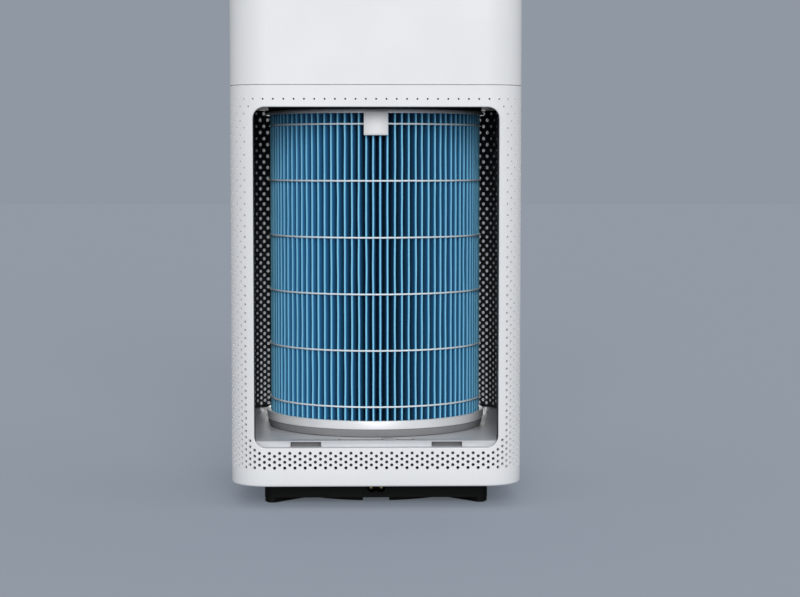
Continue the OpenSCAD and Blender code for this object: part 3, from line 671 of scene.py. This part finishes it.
post = {"gap": 0.4 * mm, "bend": 1.5 * mm, "back": 5.2 * mm}


def buildPost(side):
    # upright cable post behind the rear frame, folded from one strip
    innerX = shell["mouthHalf"] + post["gap"]
    wallX = shell["half"] - liner["inset"] - liner["wall"] / 2
    rearY = -(shell["half"] - post["back"])
    bm = bmesh.new()
    outline = [(wallX, liner["postY"]), (innerX + post["bend"], liner["postY"]),
               (innerX, liner["postY"] - post["bend"]), (innerX, rearY)]
    verts = [bm.verts.new((side * x, y, liner["bottom"])) for x, y in outline]
    edges = [bm.edges.new(pair) for pair in zip(verts, verts[1:])]
    raised = bmesh.ops.extrude_edge_only(bm, edges=edges)["geom"]
    bmesh.ops.translate(bm, vec=(0, 0, liner["top"] - liner["bottom"]),
                        verts=[g for g in raised if isinstance(g, bmesh.types.BMVert)])
    bmesh.ops.recalc_face_normals(bm, faces=bm.faces)
    piece = finishPiece(bm, "cablePost_" + ("right" if side > 0 else "left"), "inner_liner")
    solid = piece.modifiers.new("wall", "SOLIDIFY")
    solid.thickness = liner["wall"]
    solid.offset = 0


buildShell()
buildMouthLip()
buildLiner()
print("housing walls built")

# the cartridge: folded paper held by glue lines, between two end caps
paperLow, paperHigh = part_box("pleat_pack")
beadLow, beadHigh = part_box("glue_beads")
pleats = {"count": 94, "phase": -1.595, "crest": paperHigh.x, "depth": 27 * mm,
          "levels": 30, "sheet": 0.4 * mm, "sway": 0.56 * mm, "lean": 0.4 * mm,
          "pitchSpread": 0.05, "crestDrop": 0.35 * mm, "crestSpread": 0.35 * mm,
          "valleySpread": 0.6 * mm, "heldReach": 16 * mm}
beads = {"count": 6, "radius": 0.75 * mm, "dip": 0.35 * mm, "proud": 0.1 * mm,
         "lump": 0.15 * mm, "perFold": 4, "sides": 8}


def beadHeights():
    first = beadLow.z + beads["radius"]
    last = beadHigh.z - beads["radius"]
    return [first + (last - first) * i / (beads["count"] - 1) for i in range(beads["count"])]


# one fold: share of the pitch from its crest, depth under the crest, crest share (which also sets
# the paper's painted highlight and shade)
foldShape = [(-0.34, pleats["depth"], 0), (-0.24, 8 * mm, 0.05), (-0.17, 2.2 * mm, 0.25),
             (-0.11, 0.35 * mm, 0.9), (0, 0, 1), (0.09, 0.35 * mm, 0.9), (0.16, 1.5 * mm, 0.5),
             (0.29, 5 * mm, 0.28), (0.43, 11 * mm, 0.1), (0.54, pleats["depth"], 0)]


def foldPlace(angle):
    # which fold an angle belongs to, and its share of the pitch from that fold's crest
    turns = (angle - pleats["phase"]) / (2 * math.pi) * pleats["count"]
    fold = math.floor(turns + 0.4)
    return fold % pleats["count"], turns - fold


def foldProfile():
    # (angle, radius, crest share) all round, each fold a little unlike the next
    step = 2 * math.pi / pleats["count"]
    profile = []
    for i in range(pleats["count"]):
        middle = pleats["phase"] + (i + seed.uniform(-1, 1) * pleats["pitchSpread"]) * step
        crest = pleats["crest"] - pleats["crestDrop"] - seed.uniform(0, 1) * pleats["crestSpread"]
        valley = pleats["crest"] - pleats["depth"] + seed.uniform(-1, 1) * pleats["valleySpread"]
        for share, sink, lift in foldShape:
            radius = crest - sink if sink < pleats["depth"] else valley
            profile.append(((middle + share * step) % (2 * math.pi), radius, lift))
    return sorted(profile)


def buildPaper():
    bm = bmesh.new()
    crestLayer = bm.verts.layers.float.new("crest")
    profile = foldProfile()
    ring = bmesh.ops.create_circle(bm, segments=len(profile), radius=pleats["crest"])["verts"]
    ring.sort(key=lambda v: math.atan2(v.co.y, v.co.x) % (2 * math.pi))
    low, high = paperLow.z, paperHigh.z
    for vert, (angle, radius, lift) in zip(ring, profile):
        vert.co = (radius * math.cos(angle), radius * math.sin(angle), low)
        vert[crestLayer] = lift
    edges = list(bm.edges)
    for level in range(pleats["levels"]):
        geom = bmesh.ops.extrude_edge_only(bm, edges=edges)["geom"]
        edges = [g for g in geom if isinstance(g, bmesh.types.BMEdge)]
        raised = [g for g in geom if isinstance(g, bmesh.types.BMVert)]
        bmesh.ops.translate(bm, vec=(0, 0, (high - low) / pleats["levels"]), verts=raised)
    stops = beadHeights()
    for vert in bm.verts:
        # the crests sway and lean by smooth noise, and the glue lines hold them still
        angle = math.atan2(vert.co.y, vert.co.x)
        free = min(1, min(abs(vert.co.z - stop) for stop in stops) / pleats["heldReach"])
        fold = foldPlace(angle)[0]
        wave = noise.noise(Vector((fold * 3.1, vert.co.z * 22, 0.5)))
        push = noise.noise(Vector((fold * 1.7, vert.co.z * 15, 9.5)))
        around = Vector((-math.sin(angle), math.cos(angle), 0))
        outward = Vector((math.cos(angle), math.sin(angle), 0))
        give = free * vert[crestLayer]
        vert.co += around * wave * pleats["sway"] * give
        vert.co -= outward * abs(push) * pleats["lean"] * give
    bmesh.ops.recalc_face_normals(bm, faces=bm.faces)
    piece = finishPiece(bm, "pleatedPaper", "pleat_pack", sharpAngle=75)
    solid = piece.modifiers.new("sheet", "SOLIDIFY")
    solid.thickness = pleats["sheet"]
    solid.offset = -1


def buildBeads():
    # glue lines laid over the crests, sinking a little between them
    bm = bmesh.new()
    steps = pleats["count"] * beads["perFold"]
    upright = Matrix.Rotation(math.pi / 2, 4, "X")
    for height in beadHeights():
        ring = bmesh.ops.create_circle(bm, segments=beads["sides"], radius=beads["radius"])
        start = ring["verts"]
        place = Matrix.Translation((pleats["crest"] + beads["proud"], 0, height))
        bmesh.ops.transform(bm, matrix=place @ upright, verts=start)
        bmesh.ops.spin(bm, geom=start + ringEdges(start), cent=(0, 0, 0), axis=(0, 0, 1),
                       angle=2 * math.pi, steps=steps, use_merge=True)
    bmesh.ops.remove_doubles(bm, verts=bm.verts, dist=weld)
    for vert in bm.verts:
        angle = math.atan2(vert.co.y, vert.co.x)
        dip = 0.5 - 0.5 * math.cos(2 * math.pi * foldPlace(angle)[1])
        blob = noise.noise(Vector((angle * 30, vert.co.z * 40, 3)))
        outward = Vector((math.cos(angle), math.sin(angle), 0))
        vert.co -= outward * (beads["dip"] * dip + abs(blob) * beads["lump"])
        vert.co.z += blob * beads["lump"]
    bmesh.ops.recalc_face_normals(bm, faces=bm.faces)
    finishPiece(bm, "glueLines", "glue_beads", sharpAngle=80)


def spinOutline(bm, outline, low):
    # outline: (radius, height) in millimetres above low
    verts = [bm.verts.new((radius * mm, 0, low + height * mm)) for radius, height in outline]
    edges = [bm.edges.new(pair) for pair in zip(verts, verts[1:])]
    bmesh.ops.spin(bm, geom=verts + edges, cent=(0, 0, 0), axis=(0, 0, 1),
                   angle=2 * math.pi, steps=160, use_merge=True)
    bmesh.ops.remove_doubles(bm, verts=bm.verts, dist=weld)
    bmesh.ops.recalc_face_normals(bm, faces=bm.faces)


def buildLowerCap():
    # an upright bright band over a foot that draws in towards the floor, the foot painted a darker
    # grey as painted shade
    low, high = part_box("lower_end_cap")
    rim, bore = high.x / mm, paperHigh.x / mm
    band = bmesh.new()
    spinOutline(band, [(0, 2.5), (bore, 2.5), (bore, 13.5), (rim - 0.5, 13.5), (rim - 0.1, 13.3),
                       (rim, 12.9), (rim, 6.9), (rim - 0.3, 6.5), (rim - 1.2, 6.4), (0, 2.4)],
                low.z)
    finishPiece(band, "lowerEndCap", "lower_end_cap", sharpAngle=30)
    foot = bmesh.new()
    spinOutline(foot, [(0, 2.3), (rim - 1.3, 6.3), (rim - 0.8, 6.1), (rim - 0.8, 5.6),
                       (rim - 1.6, 1.2), (rim - 2.2, 0.3), (rim - 3.4, 0), (0, 0)], low.z)
    # the foot takes the darker grey as painted shade under the bright band
    finishPiece(foot, "lowerEndCapFoot", "lower_end_cap", sharpAngle=30, finish="capFootPaintedShade")


buildPaper()
buildBeads()
buildLowerCap()
print("filter built")

floorPaint = {"ease": 0.35 * mm, "skirtDrop": 1 * mm, "sunk": 0.45 * mm,
              "rearEdge": 8.5 * mm, "halfWide": 75 * mm}


def buildFloor():
    # the skirt behind the sill's holes is black, and the slots and pockets are painted a darker
    # grey: painted shade in the recesses
    piece = softCopy("chamber_floor", "chamberFloor", floorPaint["ease"])
    piece.data.materials.append(made["blackLiner"])
    piece.data.materials.append(made["recessPaintedShade"])
    skirtTop = shell["mouthLow"] - floorPaint["skirtDrop"]
    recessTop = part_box("chamber_floor")[1].z - floorPaint["sunk"]
    rearY = -(shell["half"] - floorPaint["rearEdge"])
    for face in piece.data.polygons:
        spot = face.center
        inPaintedShadeRecess = skirtTop < spot.z < recessTop and spot.y > rearY
        if spot.z < skirtTop:
            face.material_index = 1
        # faces inside the slots and pockets take the painted shade grey
        elif inPaintedShadeRecess and abs(spot.x) < floorPaint["halfWide"]:
            face.material_index = 2


# moulded parts that keep their CAD shape: the piece's name and how far its edges are eased
easedParts = {
    "pull_tab": ("pullTab", 0.3 * mm), "sensor_cover": ("sensorCover", 0.3 * mm),
    "control_panel": ("controlPanel", 0.4 * mm), "power_button": ("powerButton", 0.4 * mm),
}

buildFloor()
for nodeName, (name, width) in easedParts.items():
    softCopy(nodeName, name, width)
print("moulded edges eased")

# the floor shares the backdrop's colour and gives out a little light of its own
stageLook = {"colour": (0.279, 0.314, 0.366), "size": 12, "paper": 0.965, "own": 0.3}
studio = {
    "dome": (0.88, 0.885, 0.895), "domeStrength": 0.47,
    "key": {"tilt": 72, "turn": 2, "power": 1.88, "soft": 35},
    "top": {"tilt": 12, "turn": 60, "power": 0.5, "soft": 90},
    "glow": {"firstColumn": 22, "lastColumn": 26, "power": 0.02, "gap": 0.1 * mm,
             "aim": 10 * mm},
}


def makeStageMaterial():
    material = bpy.data.materials.new("studioPaper")
    material.use_nodes = True
    shader = material.node_tree.nodes["Principled BSDF"]
    paper = [stageLook["paper"] * c for c in stageLook["colour"]]
    shader.inputs["Base Color"].default_value = (*paper, 1)
    shader.inputs["Emission Color"].default_value = (*stageLook["colour"], 1)
    shader.inputs["Emission Strength"].default_value = stageLook["own"]
    shader.inputs["Roughness"].default_value = 1
    shader.inputs["Specular IOR Level"].default_value = 0
    return material


def makeStage():
    bm = bmesh.new()
    bmesh.ops.create_grid(bm, x_segments=1, y_segments=1, size=stageLook["size"])
    mesh = bpy.data.meshes.new("studioFloor")
    bm.to_mesh(mesh)
    bm.free()
    mesh.materials.append(makeStageMaterial())
    floor = bpy.data.objects.new("studioFloor", mesh)
    bpy.context.scene.collection.objects.link(floor)


def makeWorld():
    # an even dome lights the object; the camera sees a plain backdrop
    world = bpy.data.worlds.new("studioAir")
    bpy.context.scene.world = world
    world.use_nodes = True
    nodes, links = world.node_tree.nodes, world.node_tree.links
    dome = nodes["Background"]
    dome.inputs["Color"].default_value = (*studio["dome"], 1)
    dome.inputs["Strength"].default_value = studio["domeStrength"]
    backdrop = nodes.new("ShaderNodeBackground")
    backdrop.inputs["Color"].default_value = (*stageLook["colour"], 1)
    path = nodes.new("ShaderNodeLightPath")
    pick = nodes.new("ShaderNodeMixShader")
    links.new(path.outputs["Is Camera Ray"], pick.inputs["Fac"])
    links.new(dome.outputs["Background"], pick.inputs[1])
    links.new(backdrop.outputs["Background"], pick.inputs[2])
    links.new(pick.outputs["Shader"], nodes["World Output"].inputs["Surface"])


def softSun(name, look):
    # tilt from straight down, turned round the upright axis from the camera's side
    data = bpy.data.lights.new(name, "SUN")
    data.energy = look["power"]
    data.angle = math.radians(look["soft"])
    light = bpy.data.objects.new(name, data)
    light.rotation_euler = (math.radians(look["tilt"]), 0, math.radians(look["turn"]))
    bpy.context.scene.collection.objects.link(light)


def makeHoleGlow():
    # thin panels between shell and liner in the far corners: the daylight behind the holes
    glow = studio["glow"]
    farMiddle = 4 * piercing["perFace"]         # the column in the middle of the far face
    low, high = liner["bottom"], liner["top"]
    for side in (-1, 1):
        for column in range(glow["firstColumn"], glow["lastColumn"] + 1):
            run = columnRun(farMiddle + side * column)
            spot = wallPoint(run, (low + high) / 2, shell["wall"] + glow["gap"])
            inward = (wallPoint(run, spot.z, glow["aim"]) - spot).normalized()
            data = bpy.data.lights.new("holeGlow", "AREA")
            data.shape = "RECTANGLE"
            data.size = piercing["rearStep"]
            data.size_y = high - low
            data.energy = glow["power"]
            light = bpy.data.objects.new("holeGlow", data)
            light.location = spot
            light.rotation_euler = inward.to_track_quat("-Z", "Y").to_euler()
            bpy.context.scene.collection.objects.link(light)


makeStage()
makeWorld()
softSun("keyLight", studio["key"])
softSun("topLight", studio["top"])
makeHoleGlow()
bpy.context.scene.view_settings.view_transform = "Standard"
print("stage and lights set")
